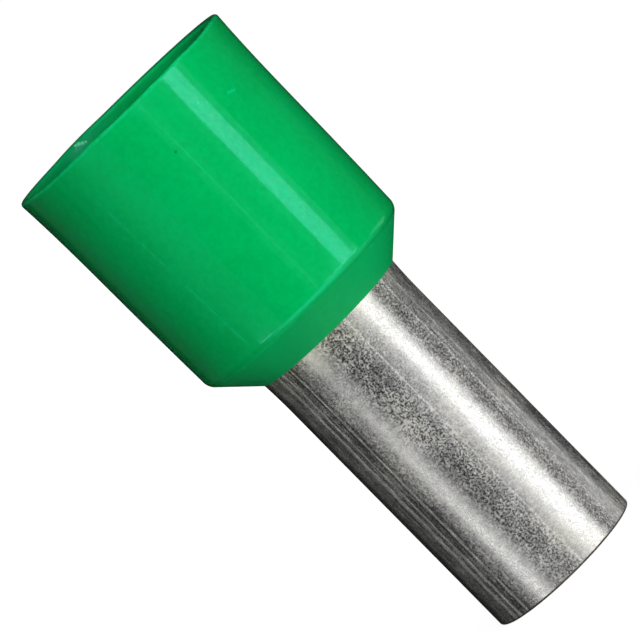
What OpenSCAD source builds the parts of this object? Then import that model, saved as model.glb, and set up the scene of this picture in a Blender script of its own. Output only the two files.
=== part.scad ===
// Insulated wire ferrule for a stranded conductor.
// A thin drawn metal sleeve has one flared end, which sits on the cone inside a
// moulded plastic collar. The part stands on the sleeve's cut end, mouth up.

/* [Metal sleeve] */
// Bore that takes the bare strands
sleeve_bore_d = 5.8; // [5:0.1:6.4]
// Wall of the drawn tube
sleeve_wall = 0.2; // [0.15:0.01:0.4]
// Length of sleeve that shows below the collar
sleeve_bare_l = 12; // [8:0.5:20]
// Round on the outer edge of the cut end
cut_end_round = 0.12; // [0.04:0.01:0.14]
// Length over which the sleeve widens before it enters the collar
swell_l = 1.3; // [0.6:0.1:3]
// Radius that the sleeve gains over that length
swell = 0.04; // [0.02:0.01:0.08]
// Radius of the bend into the flare, on the outside of the sleeve
flare_bend = 0.6; // [0.3:0.1:1.2]
// Gap between the flare's rim and the collar's bore
rim_gap = 0.06; // [0.03:0.01:0.2]

/* [Plastic collar] */
// Length of the collar
collar_l = 10.6; // [8:0.1:16]
// Bore that takes the insulated wire
collar_bore_d = 8.6; // [8.2:0.1:9.6]
// Wall just above the shoulder
collar_wall = 0.37; // [0.3:0.01:0.7]
// Mould draft on the outside, in degrees
collar_draft = 0.6; // [0:0.1:1.5]
// Angle of the shoulder and of the flare inside it, from the axis
shoulder_angle = 45; // [35:1:55]
// Round on the shoulder's outer edge
shoulder_round = 0.7; // [0.2:0.1:1.2]
// Straight neck around the sleeve, below the bend of the flare
neck_l = 0.4; // [0.2:0.1:0.8]
// Width of the collar's lower edge
neck_edge = 0.03; // [0.02:0.01:0.2]
// Length of the widened mouth
mouth_l = 3.2; // [1.5:0.1:5]
// Radius that the outside gains at the mouth
mouth_flare = 0.085; // [0.05:0.005:0.2]
// Radius that the bore gains at the mouth
mouth_lead = 0.14; // [0.05:0.01:0.15]
// Round on both edges of the lip
lip_round = 0.15; // [0.05:0.01:0.15]

/* [Fit] */
// Clearance between the collar and the sleeve that it is pressed onto
seat_gap = 0.01; // [0.005:0.005:0.03]

/* [Hidden] */
$fn = 96;
arc_steps = 10;

// The sleeve: its outside radius, and the two bends that lead into the flare
sleeve_r = sleeve_bore_d / 2 + sleeve_wall;
swell_z = sleeve_bare_l - swell_l;
swell_bend = (swell_l ^ 2 + swell ^ 2) / (2 * swell);
swell_angle = asin((swell_l + neck_l) / swell_bend);
flare_rim_r = collar_bore_d / 2 - rim_gap;

// The collar: heights above the cut end, and the outside of its body
collar_bore_r = collar_bore_d / 2;
mouth_z = sleeve_bare_l + collar_l;
mouth_start_z = mouth_z - mouth_l;
neck_r = sleeve_r + swell + seat_gap;
shoulder_r = collar_bore_r + collar_wall;
shoulder_z = sleeve_bare_l + (shoulder_r - neck_r - neck_edge) / tan(shoulder_angle);

// Radius of the collar's outside at height z, and of its bore
function widened(z) = (max(0, z - mouth_start_z) / mouth_l) ^ 2;
function outside_r(z) = shoulder_r + (z - shoulder_z) * tan(collar_draft) + mouth_flare * widened(z);
function bore_r(z) = collar_bore_r + mouth_lead * widened(z);

// Points of a bend about the centre c, with radius r, between two angles from the axis
function bend(c, r, from, to) =
    [for (i = [0 : arc_steps])
        let (a = from + (to - from) * i / arc_steps)
        [c.x - r * cos(a), c.y + r * sin(a)]];

// Points of a round of radius r on the corner b, between the lines to a and c
function rounded(a, b, c, r) =
    let (u = (a - b) / norm(a - b),
         v = (c - b) / norm(c - b),
         half = acos(u * v) / 2,
         centre = b + (u + v) / norm(u + v) * r / sin(half),
         start = (b + u * r / tan(half) - centre) / r,
         end = (b + v * r / tan(half) - centre) / r,
         turn = acos(start * end))
    [for (i = [0 : arc_steps])
        let (t = turn * i / arc_steps)
        centre + r * (sin(turn - t) * start + sin(t) * end) / sin(turn)];

// The surface that lies d outside the sleeve's own outside, from the cut end's
// side of the swell to radius rim_r on the flare. A negative d lies inside it.
swell_c = [sleeve_r + swell_bend, swell_z];
flare_c = swell_c - (swell_bend - flare_bend) * [cos(swell_angle), -sin(swell_angle)];
function flare_from(angle, d, rim_r) =
    let (bent = concat(bend(swell_c, swell_bend - d, angle, swell_angle),
                       bend(flare_c, flare_bend - d, swell_angle, shoulder_angle)),
         last = bent[len(bent) - 1],
         rise = (rim_r - last.x) / tan(shoulder_angle))
    concat(bent, [[rim_r, last.y + rise]]);

module metal_sleeve() {
    cut_edge = rounded([0, 0], [sleeve_r, 0], [sleeve_r, swell_z], cut_end_round);
    outside = flare_from(0, 0, flare_rim_r);
    rim_step = sleeve_wall * cos(shoulder_angle);
    inside = flare_from(0, -sleeve_wall, flare_rim_r - rim_step);
    inside_down = [for (i = [len(inside) - 1 : -1 : 0]) inside[i]];
    color("silver")
        rotate_extrude()
            polygon(concat([[sleeve_bore_d / 2, 0]], cut_edge, outside, inside_down));
}

module plastic_collar() {
    entry_angle = asin(swell_l / swell_bend);
    seat = flare_from(entry_angle, seat_gap, collar_bore_r);
    neck_out = [seat[0].x + neck_edge, seat[0].y];
    shoulder = [shoulder_r, shoulder_z];
    body = [outside_r(mouth_start_z), mouth_start_z];
    heights = [for (i = [1 : arc_steps]) mouth_start_z + mouth_l * i / arc_steps];
    flare = [for (z = heights) if (z < mouth_z - 2 * lip_round) [outside_r(z), z]];
    lead = [for (z = heights) if (z < mouth_z - 2 * lip_round) [bore_r(z), z]];
    lip_out = [outside_r(mouth_z), mouth_z];
    lip_in = [bore_r(mouth_z), mouth_z];
    lead_down = [for (i = [len(lead) - 1 : -1 : 0]) lead[i]];
    seat_down = [for (i = [len(seat) - 1 : -1 : 0]) seat[i]];
    color("mediumseagreen")
        rotate_extrude()
            polygon(concat(
                [neck_out],
                rounded(neck_out, shoulder, body, shoulder_round),
                [body],
                flare,
                rounded(flare[len(flare) - 1], lip_out, lip_in, lip_round),
                rounded(lip_out, lip_in, lead[len(lead) - 1], lip_round),
                lead_down,
                [[collar_bore_r, mouth_start_z]],
                seat_down));
}

metal_sleeve();
plastic_collar();
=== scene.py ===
"""An insulated wire ferrule: a drawn metal sleeve and its plastic collar, in a plain studio."""

import math

import bpy
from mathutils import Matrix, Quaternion, Vector


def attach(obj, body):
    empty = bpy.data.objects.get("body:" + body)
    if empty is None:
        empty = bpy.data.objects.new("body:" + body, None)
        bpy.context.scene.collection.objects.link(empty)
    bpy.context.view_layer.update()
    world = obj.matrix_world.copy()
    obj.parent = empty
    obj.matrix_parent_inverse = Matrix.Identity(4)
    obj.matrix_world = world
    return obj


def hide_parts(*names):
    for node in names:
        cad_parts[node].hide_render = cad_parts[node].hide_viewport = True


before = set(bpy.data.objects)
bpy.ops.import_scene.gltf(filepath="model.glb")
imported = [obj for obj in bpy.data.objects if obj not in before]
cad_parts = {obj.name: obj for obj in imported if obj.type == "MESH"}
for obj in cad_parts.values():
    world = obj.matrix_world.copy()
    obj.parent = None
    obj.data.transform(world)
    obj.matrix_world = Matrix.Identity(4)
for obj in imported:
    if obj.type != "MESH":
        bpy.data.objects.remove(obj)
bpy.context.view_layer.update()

# --- Metal sleeve ---------------------------------------------------------------------------
# A thin copper tube, drawn to size, cut square at one end, flared at the other and tin-plated.
# Drawing leaves fine lines along it, and the plating leaves a fine mottled grain.
MM = 0.001
sides = 256
crease = math.radians(35)
sleeve_radius, sleeve_wall = 3.115 * MM, 0.2 * MM
sleeve_bore = sleeve_radius - sleeve_wall
cut_round = 0.09 * MM
swell_z, swell_reach = 11.5 * MM, 0.8 * MM
bend, bend_reach = (3.205 * MM, 12.635 * MM), 0.2 * MM
inner_bend, inner_bend_reach = (bend[0] - sleeve_wall, bend[1] + 0.083 * MM), 0.25 * MM
flare_rim = (4.238 * MM, 13.67 * MM)
rim_step = 0.141 * MM


def turned(name, outline):
    """A closed turned piece: a ring is extruded to each (radius, height) of the outline in turn."""
    bpy.ops.object.select_all(action="DESELECT")
    radius, height = outline[0]
    bpy.ops.mesh.primitive_circle_add(vertices=sides, radius=radius, location=(0, 0, height))
    piece = bpy.context.object
    piece.name = name
    bpy.ops.object.transform_apply()
    bpy.ops.object.mode_set(mode="EDIT")
    bpy.context.tool_settings.mesh_select_mode = (False, True, False)
    bpy.ops.mesh.select_all(action="SELECT")
    for next_radius, next_height in outline[1:] + outline[:1]:
        rise = (0, 0, next_height - height)
        bpy.ops.mesh.extrude_edges_move(TRANSFORM_OT_translate={"value": rise})
        share = next_radius / radius
        bpy.ops.transform.resize(value=(share, share, 1), center_override=(0, 0, next_height))
        radius, height = next_radius, next_height
    bpy.ops.mesh.select_all(action="SELECT")
    bpy.ops.mesh.remove_doubles(threshold=1e-8)
    bpy.ops.mesh.normals_make_consistent(inside=False)
    bpy.ops.object.mode_set(mode="OBJECT")
    return piece


def round_ring(piece, ring, reach, segments):
    """Rounds the edge around the piece at a (radius, height), over a reach to each side."""
    tolerance = 0.002 * MM

    def on_ring(vertex):
        x, y, z = vertex.co
        return abs(math.hypot(x, y) - ring[0]) < tolerance and abs(z - ring[1]) < tolerance

    bpy.ops.object.mode_set(mode="EDIT")
    bpy.ops.mesh.select_all(action="DESELECT")
    bpy.ops.object.mode_set(mode="OBJECT")
    near = {vertex.index for vertex in piece.data.vertices if on_ring(vertex)}
    for edge in piece.data.edges:
        edge.select = edge.vertices[0] in near and edge.vertices[1] in near
    bpy.ops.object.mode_set(mode="EDIT")
    bpy.ops.mesh.bevel(offset=reach, segments=segments, profile=0.5, affect="EDGES")
    bpy.ops.object.mode_set(mode="OBJECT")


sleeve = turned("tinned_sleeve", [
    (sleeve_bore, 0),
    (sleeve_radius, 0),
    (sleeve_radius, swell_z),
    bend,
    flare_rim,
    (flare_rim[0] - rim_step, flare_rim[1] + rim_step),
    inner_bend,
    (sleeve_bore, swell_z),
])
round_ring(sleeve, (sleeve_radius, 0), cut_round, 6)
round_ring(sleeve, (sleeve_radius, swell_z), swell_reach, 8)
round_ring(sleeve, bend, bend_reach, 8)
round_ring(sleeve, (sleeve_bore, swell_z), swell_reach, 8)
round_ring(sleeve, inner_bend, inner_bend_reach, 8)
bpy.ops.object.shade_smooth_by_angle(angle=crease)


class Socket:
    """An output of a material's node that does sums: each + - * / makes a Math node."""

    def __init__(self, socket):
        self.socket = socket
        self.tree = socket.id_data

    def node(self, kind, links, output=0, **settings):
        """Adds a node of the kind, sets it up, and gives one of its outputs."""
        node = self.tree.nodes.new(kind)
        for name, value in settings.items():
            setattr(node, name, value)
        for name, value in links.items():
            if isinstance(value, Socket):
                self.tree.links.new(value.socket, node.inputs[name])
            else:
                node.inputs[name].default_value = value
        return Socket(node.outputs[output])

    def math(self, operation, *values):
        return self.node("ShaderNodeMath", dict(enumerate(values)), operation=operation)

    def __add__(self, other):
        return self.math("ADD", self, other)

    def __sub__(self, other):
        return self.math("SUBTRACT", self, other)

    def __rsub__(self, other):
        return self.math("SUBTRACT", other, self)

    def __mul__(self, other):
        return self.math("MULTIPLY", self, other)

    def __truediv__(self, other):
        return self.math("DIVIDE", self, other)

    def __abs__(self):
        return self.math("ABSOLUTE", self)

    __radd__ = __add__
    __rmul__ = __mul__

    def scaled(self, x, y, z):
        links = {0: self, 1: (x, y, z)}
        return self.node("ShaderNodeVectorMath", links, operation="MULTIPLY")

    def dot(self, direction):
        links = {0: self, 1: direction}
        return self.node("ShaderNodeVectorMath", links, output=1, operation="DOT_PRODUCT")

    def distance(self, point=(0, 0, 0)):
        links = {0: self, 1: point}
        return self.node("ShaderNodeVectorMath", links, output=1, operation="DISTANCE")

    def axis(self, number):
        return self.node("ShaderNodeSeparateXYZ", {0: self}, output=number)

    def noise(self, scale, detail=2.0, rough=0.5):
        links = {"Vector": self, "Scale": scale, "Detail": detail, "Roughness": rough}
        return self.node("ShaderNodeTexNoise", links)

    def between(self, low, high, to_low=0.0, to_high=1.0):
        """Maps low..high smoothly to to_low..to_high."""
        links = {"Value": self, "From Min": low, "From Max": high}
        links |= {"To Min": to_low, "To Max": to_high}
        return self.node("ShaderNodeMapRange", links, interpolation_type="SMOOTHSTEP")

    def band(self, start, full, fade, end):
        """Rises smoothly from 0 at start to 1 at full, and falls from fade to 0 at end."""
        return self.between(start, full) * self.between(fade, end, 1, 0)

    def blend(self, first, second):
        """Mixes two colours by this factor."""
        links = {"Factor": self, 6: first, 7: second}
        return self.node("ShaderNodeMix", links, output=2, data_type="RGBA")

    def bump(self, distance, strength):
        """Turns this height into a normal."""
        links = {"Height": self, "Distance": distance, "Strength": strength}
        return self.node("ShaderNodeBump", links)


def new_material(name):
    """A new material with its shader, and the Object coordinates for its patterns."""
    material = bpy.data.materials.new(name)
    material.use_nodes = True
    shader = material.node_tree.nodes["Principled BSDF"]
    place = material.node_tree.nodes.new("ShaderNodeTexCoord").outputs["Object"]
    return material, shader, Socket(place)


def directions(place):
    """How far across, towards the front and up a place is, and its azimuth in degrees."""
    across, toward_front, up = place.axis(0), place.axis(1) * -1, place.axis(2)
    azimuth = across.math("ARCTAN2", across, toward_front) * math.degrees(1)
    return across, toward_front, up, azimuth


def toward(azimuth, distance, height):
    """The place at an azimuth, a distance and a height. 0 is the front, and 90 is its right."""
    angle = math.radians(azimuth)
    return Vector((distance * math.sin(angle), -distance * math.cos(angle), height))


def wire(shader, **inputs):
    """Links or sets the shader's inputs, with _ for a space in their names."""
    for name, value in inputs.items():
        socket = shader.inputs[name.replace("_", " ")]
        if isinstance(value, Socket):
            value.tree.links.new(value.socket, socket)
        else:
            socket.default_value = value


light_tin, dark_tin = (0.87, 0.86, 0.83, 1), (0.54, 0.54, 0.53, 1)
warm_tin, cut_copper_and_shade = (0.80, 0.79, 0.64, 1), (0.10, 0.08, 0.06, 1)
bump_depth = 0.003 * MM
tin, tin_shader, place = new_material("tinned_metal")
across, toward_front, up, azimuth = directions(place)
grain = place.noise(13200, 3.0, 0.75)
clumps = place.noise(5000, 2.0, 0.5)
patches = place.scaled(1, 1, 0.6).noise(900, 1.0, 0.5)
hair_lines = place.scaled(1, 1, 0.008).noise(16000, 2.0, 0.5)
streaks = place.scaled(1, 1, 0.08).noise(17000, 2.0, 0.6)

# Draw lines, each with its azimuth, its reach to each side and its rise
line_strength = hair_lines.between(0.3, 0.6, 0.6, 1.2)
ridges = (hair_lines - 0.5) * 0.5
for line_azimuth, reach, rise in [
    (-68, 1.6, 0.15), (-55.5, 2.4, 0.5), (-49.6, 2.0, 0.3), (-43.6, 1.2, -0.2),
    (-41.9, 1.4, 0.38), (-39.7, 1.2, -0.2), (-33.4, 2.2, 0.12), (8.8, 1.8, 0.42),
    (48.6, 1.6, 0.28), (50.3, 1.2, -0.15), (58.4, 2.4, 0.15),
]:
    ridges = ridges + abs(azimuth - line_azimuth).between(0, reach, rise, 0) * line_strength

# The dull grain: streaky on both flanks, and partly rubbed off there and in two long strips
flank = azimuth.between(-42, -34, 1, 0) + azimuth.between(46, 56)
texture = grain + flank * (streaks - grain) * 0.6
smooth_strip = azimuth.band(6, 10, 18, 24)
dark_strip = azimuth.band(34, 39, 42, 47)
# Painted shade: at the left edge little dull grain is kept, so the bare metal mirrors the dark room
shade_strip = azimuth.band(-100, -90, -79, -70)
grain_left = azimuth.between(46, 62, 1, 0.62) * azimuth.between(-42, -30, 0.62, 1)
grain_left = grain_left * (1 - shade_strip * 0.9) - smooth_strip * 0.34 - dark_strip * 0.25
dull = (texture * 0.8 + clumps * 0.1 + patches * 0.17).between(0.455, 0.715, 0, 1.04)
dull = dull * grain_left + azimuth.band(48, 60, 100, 130) * 0.06

# Small dark specks, each with its azimuth, height and reach
tone = place.noise(19000, 1.0, 0.5) * 0.6 + clumps * 0.4
for speck_azimuth, speck_height, reach in [
    (43.3, 6.95, 0.1), (44.6, 7.1, 0.08), (22.4, 8.1, 0.06), (29, 3.4, 0.05),
]:
    away = place.distance(toward(speck_azimuth, sleeve_radius, speck_height * MM))
    tone = tone - away.between(0.4 * reach * MM, reach * MM, 0.3, 0)

warmth = up.between(10.4 * MM, 12.2 * MM, 0, 0.55) * across.between(0.2 * MM, MM, 1, 0.3)
warmth = warmth + patches.between(0.5, 0.75, 0, 0.25)
tin_colour = warmth.blend(tone.between(0.3, 0.7).blend(dark_tin, light_tin), warm_tin)
# The cut edge is dark and less metallic: the copper at the cut, and painted shade along it
cut_edge = up.between(0.06 * MM, 0.1 * MM, 1, 0)
wire(
    tin_shader,
    Base_Color=cut_edge.blend(tin_colour, cut_copper_and_shade),
    Metallic=1 - (dull + ridges) - cut_edge * 0.5,
    Roughness=grain.between(0.3, 0.7, 0.24, 0.32),
    Normal=(grain * 0.4 + clumps * 0.2 + ridges).bump(bump_depth, 1.0),
)
sleeve.data.materials.append(tin)
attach(sleeve, "root")
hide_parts("metal_sleeve")

# --- Plastic collar ---------------------------------------------------------------------------
# One soft moulding, glossy outside, with a widened mouth for the insulated wire.
# It is pushed up the sleeve from below, until its cone seats on the sleeve's flare.
neck_z, neck_bore, neck_edge = 12.0 * MM, 3.168 * MM, 0.012 * MM
shoulder, shoulder_reach = (4.60 * MM, 13.351 * MM), 0.2 * MM
collar_bore, seat_z = 4.29 * MM, 13.712 * MM
lip_reach, mouth_reach = 0.14 * MM, 0.2 * MM


def in_metres(points):
    """The same (radius, height) points, which are written in millimetres."""
    return [(radius * MM, height * MM) for radius, height in points]


outside = in_metres([
    (4.633, 14.8), (4.66, 16.5), (4.69, 19.4), (4.703, 20.2),
    (4.725, 21.0), (4.757, 21.8), (4.80, 22.55),
])
inside = in_metres([(4.42, 22.55), (4.37, 21.8), (4.33, 21.0), (4.305, 20.2), (4.29, 19.4)])
seat = in_metres([(3.357, 12.777), (3.276, 12.664), (3.232, 12.57), (3.199, 12.43)])
collar = turned("moulded_collar", [
    (neck_bore, neck_z),
    (neck_bore + neck_edge, neck_z),
    shoulder,
    *outside,
    *inside,
    (collar_bore, seat_z),
    *seat,
])
round_ring(collar, shoulder, shoulder_reach, 10)
round_ring(collar, outside[-1], lip_reach, 5)
round_ring(collar, inside[0], mouth_reach, 8)


def nudge(piece, spot, rise, reach):
    """Moves the lip up or down around one spot, fading out over a reach."""
    bpy.ops.object.mode_set(mode="EDIT")
    bpy.context.tool_settings.mesh_select_mode = (True, False, False)
    bpy.ops.mesh.select_all(action="DESELECT")
    bpy.ops.object.mode_set(mode="OBJECT")
    for vertex in piece.data.vertices:
        vertex.select = (vertex.co - spot).length < 0.3 * MM
    bpy.ops.object.mode_set(mode="EDIT")
    bpy.ops.transform.translate(
        value=(0, 0, rise),
        use_proportional_edit=True,
        proportional_edit_falloff="SMOOTH",
        proportional_size=reach,
    )
    bpy.ops.object.mode_set(mode="OBJECT")


# The lip isn't quite even: each nudge has its azimuth, its rise and its reach
lip_radius, lip_z = outside[-1][0] - 0.15 * MM, outside[-1][1]
for nudge_azimuth, rise, reach in [
    (52, -0.045, 1.9), (-48, -0.035, 1.4), (-156, 0.025, 1.4), (-14, 0.03, 0.8),
    (-9, -0.014, 0.5), (27, -0.016, 0.6), (34, 0.014, 0.5), (8, -0.01, 0.7), (66, 0.015, 0.6),
]:
    nudge(collar, toward(nudge_azimuth, lip_radius, lip_z), rise * MM, reach * MM)
bpy.ops.object.shade_smooth_by_angle(angle=crease)

bright_green, deep_green = (0.0, 0.545, 0.13, 1), (0.0, 0.485, 0.107, 1)
pale_green_scratch_and_highlight, painted_light_green = (0.004, 0.66, 0.23, 1), (0.0, 0.85, 0.2, 1)
painted_highlight_white, dark_speck_and_shade = (0.16, 0.7, 0.4, 1), (0.0, 0.22, 0.08, 1)
cool_reflection = (0.17, 0.85, 1.0, 1)
plastic, plastic_shader, place = new_material("collar_plastic")
across, toward_front, up, azimuth = directions(place)
from_axis = place.scaled(1, 1, 0).distance()
lines = place.scaled(1, 1, 0.02).noise(5000, 2.0, 0.5)
clouds = place.noise(320, 2.0, 0.5)
mottle = clouds * 0.4 + place.noise(4200, 3.0, 0.6) * 0.6
colour = mottle.between(0.35, 0.65).blend(deep_green, bright_green)

# The lip, with a painted highlight on top, and the wall inside it, with painted light and shade
lip_top = up.between(22.38 * MM, 22.46 * MM)
# A painted highlight: a paler, streaky line along the top of the lip
lip = from_axis.between(4.62 * MM, 4.70 * MM) * lip_top
colour = (lip * lines.between(0.3, 0.7, 0.1, 0.7)).blend(colour, pale_green_scratch_and_highlight)
inner_wall = from_axis.between(4.44 * MM, 4.5 * MM, 1, 0)
# Painted shade on the inner wall's left side, and painted light on its right side
colour = (inner_wall * across.between(-2 * MM, 0.4 * MM, 0.55, 0)).blend(colour, dark_speck_and_shade)
colour = (inner_wall * across.between(0.2 * MM, 2.4 * MM, 0, 0.6)).blend(colour, painted_light_green)
# Painted shade along the lip's far side
far_lip_shade = from_axis.between(4.45 * MM, 4.52 * MM) * lip_top
colour = (far_lip_shade * toward_front.between(-2 * MM, 0, 0.85, 0)).blend(colour, dark_speck_and_shade)

# The shoulder with a painted highlight at its front, the cone below it with painted light and shade
shoulder_highlight = up.band(13.34 * MM, 13.42 * MM, 13.44 * MM, 13.54 * MM)
shoulder_highlight = shoulder_highlight * across.between(-2.3 * MM, -0.7 * MM) * across.between(1.4 * MM, 2 * MM, 1, 0.2)
colour = (shoulder_highlight * toward_front.between(0, MM, 0, 0.65)).blend(colour, pale_green_scratch_and_highlight)
# Painted shade on the cone's right side and painted light on its left side
cone = up.between(13.2 * MM, 13.38 * MM, 1, 0)
colour = (cone * across.between(0, 2 * MM, 0, 0.34)).blend(colour, dark_speck_and_shade)
colour = (cone * across.between(-2.4 * MM, 0.2 * MM, 0.5, 0)).blend(colour, painted_light_green)

# Long broken scratches, each with its azimuth at the mouth, its drift in degrees for each
# millimetre of height, its reach, its top and its strength
mouth_height = 22.6
broken = place.noise(2600, 2.0, 0.5).between(0.44, 0.56, 0.25, 1)
above_shoulder = up.between(13.4 * MM, 13.8 * MM)
for scratch_azimuth, drift, reach, top, strength in [
    (-36.3, 0.4, 0.6, 21.9, 0.85), (-37.4, 0.42, 0.35, 21.4, 0.3), (7.4, 0.12, 0.3, 20.9, 0.5),
]:
    off = abs(azimuth - scratch_azimuth + (up / MM - mouth_height) * drift)
    scratch = off.between(0, reach, strength, 0) * up.between((top - 0.4) * MM, top * MM, 1, 0)
    colour = (scratch * above_shoulder * broken).blend(colour, pale_green_scratch_and_highlight)

# Small spots, each with its azimuth, radius, height, reach and colour
for spot_azimuth, radius, spot_height, reach, tint in [
    (4.6, 4.71, 20.33, 0.07, dark_speck_and_shade), (26.6, 4.72, 20.95, 0.07, pale_green_scratch_and_highlight),
    (41.2, 4.71, 20.44, 0.07, pale_green_scratch_and_highlight), (42.4, 4.71, 20.413, 0.08, pale_green_scratch_and_highlight),
    (43.65, 4.71, 20.387, 0.08, pale_green_scratch_and_highlight), (44.9, 4.71, 20.36, 0.07, pale_green_scratch_and_highlight),
    (41.6, 4.4, 13.17, 0.08, pale_green_scratch_and_highlight),
    # A painted highlight on the far inner wall, just below the rim
    (-153.4, 4.43, 22.47, 0.09, painted_highlight_white), (-155, 4.43, 22.42, 0.11, painted_highlight_white),
    (-156.6, 4.42, 22.35, 0.1, painted_highlight_white), (-158.2, 4.41, 22.3, 0.07, painted_highlight_white),
    # Painted shade inside the rim, near the right end of the mouth
    (112, 4.42, 22.3, 0.14, dark_speck_and_shade), (106, 4.42, 22.1, 0.1, dark_speck_and_shade),
]:
    away = place.distance(toward(spot_azimuth, radius * MM, spot_height * MM))
    colour = away.between(0.3 * reach * MM, reach * MM, 0.9, 0).blend(colour, tint)

gloss = clouds.between(0.3, 0.7, 0.07, 0.10)
satin_bore = from_axis.between(4.43 * MM, 4.5 * MM, 0.3, 0) * up.between(13.8 * MM, 14 * MM)
satin_cone = up.between(13.15 * MM, 13.35 * MM, 0.35, 0)
wire(
    plastic_shader,
    Base_Color=colour,
    Roughness=gloss + satin_bore + satin_cone,
    Specular_IOR_Level=0.89,
    Specular_Tint=cool_reflection,
    Coat_Weight=place.noise(7000, 2.0, 0.6).between(0.48, 0.58, 0.0, 0.22),
    Coat_Roughness=0.06,
    Normal=(lines * 0.5 + place.noise(1500, 2.0, 0.5) * 0.5).bump(bump_depth, 0.6),
)
collar.data.materials.append(plastic)
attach(collar, "root")
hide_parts("plastic_collar")

# --- Floor ------------------------------------------------------------------------------------
# A pale floor that takes the object's shadow. Its bounce is lighter at the left than the right.
# Mirror-like rays pass it, so the sleeve's bands of light run on down to the cut end.
bpy.ops.object.select_all(action="DESELECT")
bpy.ops.mesh.primitive_plane_add(size=4, location=(0, 0, 0))
floor = bpy.context.object
floor.name = "floor"
floor.visible_glossy = False
floor_material = bpy.data.materials.new("floor")
floor_material.use_nodes = True
nodes, links = floor_material.node_tree.nodes, floor_material.node_tree.links
nodes.clear()
floor_diffuse = nodes.new("ShaderNodeBsdfDiffuse")
floor_glow = nodes.new("ShaderNodeEmission")
camera_ray = Socket(nodes.new("ShaderNodeLightPath").outputs["Is Camera Ray"])
floor_place = Socket(nodes.new("ShaderNodeTexCoord").outputs["Object"])
white_beyond, bounce_half_width = 0.12, 0.025
paleness = camera_ray * floor_place.distance().between(0, white_beyond, 0.9, 1)
links.new(paleness.socket, floor_glow.inputs["Strength"])
bounce = floor_place.axis(0).between(-bounce_half_width, bounce_half_width, 0.5, 0.15)
links.new(bounce.socket, floor_diffuse.inputs["Color"])
floor_sum = nodes.new("ShaderNodeAddShader")
links.new(floor_diffuse.outputs[0], floor_sum.inputs[0])
links.new(floor_glow.outputs[0], floor_sum.inputs[1])
links.new(floor_sum.outputs[0], nodes.new("ShaderNodeOutputMaterial").inputs["Surface"])
floor.data.materials.append(floor_material)

# --- Lights -----------------------------------------------------------------------------------
# Soft lamps shape the object. Upright cards around it, which only mirror-like rays see, make its
# long highlights: the sleeve mirrors their lower part, and the collar mostly their upper part.
lamp_aim = Vector((0, 0, 12 * MM))
card_foot, card_top = -62 * MM, 120 * MM
upper_start, upper_full = -24 * MM, -9 * MM


def lamp(name, place, width, tall, radiance):
    """A soft area lamp that looks at the middle of the object. Its own reflection doesn't show."""
    light = bpy.data.lights.new(name, "AREA")
    light.shape = "RECTANGLE"
    light.size, light.size_y = width, tall
    light.energy = radiance * math.pi * width * tall
    holder = bpy.data.objects.new(name, light)
    holder.location = place
    holder.rotation_euler = (place - lamp_aim).to_track_quat("Z", "Y").to_euler()
    holder.visible_glossy = False
    bpy.context.scene.collection.objects.link(holder)


def card(name, start, end, glow, upper_glow=None, distance=150 * MM):
    """An upright card between two azimuths that glows for mirror-like rays alone.

    Where an upper glow is given, the glow changes to it softly below the floor's level.
    """
    middle_azimuth, tall = (start + end) / 2, card_top - card_foot
    middle = toward(middle_azimuth, distance, (card_foot + card_top) / 2)
    bpy.ops.object.select_all(action="DESELECT")
    bpy.ops.mesh.primitive_plane_add(size=1, location=middle)
    panel = bpy.context.object
    panel.rotation_euler = (math.radians(90), 0, math.radians(middle_azimuth))
    panel.scale = (2 * distance * math.tan(math.radians(end - start) / 2), tall, 1)
    panel.name = name
    panel.visible_camera = panel.visible_diffuse = panel.visible_shadow = False
    material = bpy.data.materials.new(name)
    material.use_nodes = True
    material.cycles.emission_sampling = "NONE"
    tree = material.node_tree
    tree.nodes.clear()
    light = tree.nodes.new("ShaderNodeEmission")
    light.inputs["Strength"].default_value = glow
    if upper_glow is not None:
        height = Socket(tree.nodes.new("ShaderNodeTexCoord").outputs["Object"]).axis(1)
        soft_start, soft_end = ((z - middle.z) / tall for z in (upper_start, upper_full))
        strength = height.between(soft_start, soft_end, glow, upper_glow)
        tree.links.new(strength.socket, light.inputs["Strength"])
    output = tree.nodes.new("ShaderNodeOutputMaterial")
    tree.links.new(light.outputs[0], output.inputs["Surface"])
    panel.data.materials.append(material)


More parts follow.
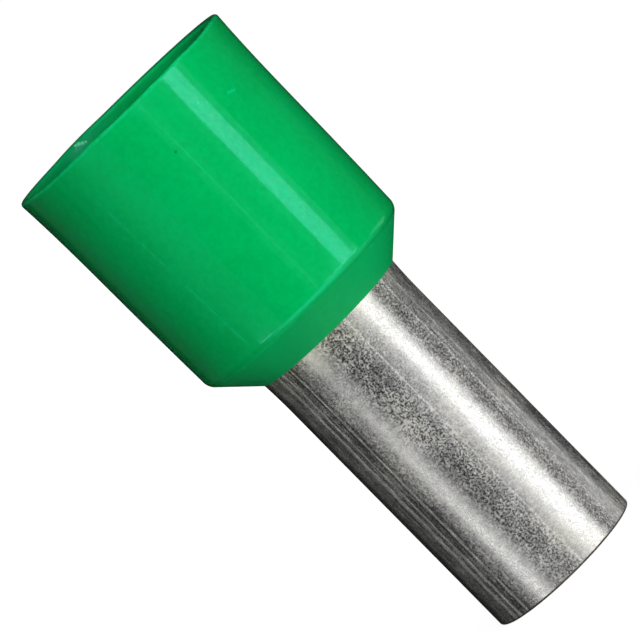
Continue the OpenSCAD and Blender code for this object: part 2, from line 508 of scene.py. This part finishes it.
lamp("key", toward(50, 0.32, 0.03), 0.16, 0.07, 9.5)
lamp("front", toward(13.5, 0.34, 0.03), 0.22, 0.07, 16.8)
lamp("top", Vector((0, -0.05, 0.35)), 0.25, 0.25, 2.5)
lamp("back", toward(150, 0.4, 0.3), 0.2, 0.2, 1.2)
card("key_inner_flank", 22, 36, 0.95, 0.08)
card("key_inner", 36, 44.4, 1.6, 0.2)
card("key_edge", 44.4, 54, 2.32)
card("key_card", 54, 60.4, 2.08)
card("key_flank", 60.4, 67.5, 2.0, 0.38)
card("right_flag", 67.5, 92, 0.03)
card("right_card", 92, 124, 0.45, 0.04)
card("thin_card", 14.2, 15.3, 0.7)
card("front_card", 9, 22, 0.18, distance=155 * MM)
card("left_card", -140, -95, 0.04)
card("side_card", -57, -42, 1.6, 0.15)
card("side_flank", -42, -30, 0.6, 0.12)
card("dark_flag", -28, 9, 0.01)

# The room is white to the camera, as the floor is. Mirror-like rays see it nearly dark, with a
# faint glow from the front, and more of it in a low band, for the collar's rounded shoulder.
room_front = (0.342, -0.94, 0)
world = bpy.data.worlds.new("studio")
bpy.context.scene.world = world
world.use_nodes = True
nodes, links = world.node_tree.nodes, world.node_tree.links
nodes.clear()
direction = Socket(nodes.new("ShaderNodeTexCoord").outputs["Generated"])
ray_kind = nodes.new("ShaderNodeLightPath").outputs
glossy_ray, camera_ray = Socket(ray_kind["Is Glossy Ray"]), Socket(ray_kind["Is Camera Ray"])
forward, upward = direction.dot(room_front), direction.axis(2)
low_band = upward.band(-0.9, -0.8, -0.42, -0.36)
room_glow = forward.between(-0.5, 0.3, 0, 0.12) + low_band * forward.between(0, 0.65, 0, 0.5)
room_light = room_glow * glossy_ray + camera_ray * 1.25 + 0.01
surround = nodes.new("ShaderNodeBackground")
links.new(room_light.socket, surround.inputs["Strength"])
links.new(surround.outputs[0], nodes.new("ShaderNodeOutputWorld").inputs["Surface"])

# --- Camera -----------------------------------------------------------------------------------
# It looks at the upright object from a little above. It is rolled, so that the mouth is at the
# upper left of its view.
eye = Vector((-0.137, -209, 32.807)) * MM
aim = Vector((-0.137, 0, 12.257)) * MM
roll = math.radians(44.53)
camera = bpy.data.objects.new("camera", bpy.data.cameras.new("camera"))
camera.data.sensor_width = 36
camera.data.lens = 335.9
camera.data.clip_start, camera.data.clip_end = 0.01, 10
camera.location = eye
camera.rotation_mode = "QUATERNION"
camera.rotation_quaternion = (eye - aim).to_track_quat("Z", "Y") @ Quaternion((0, 0, 1), -roll)
bpy.context.scene.collection.objects.link(camera)
bpy.context.scene.camera = camera
bpy.context.scene.view_settings.view_transform = "Standard"
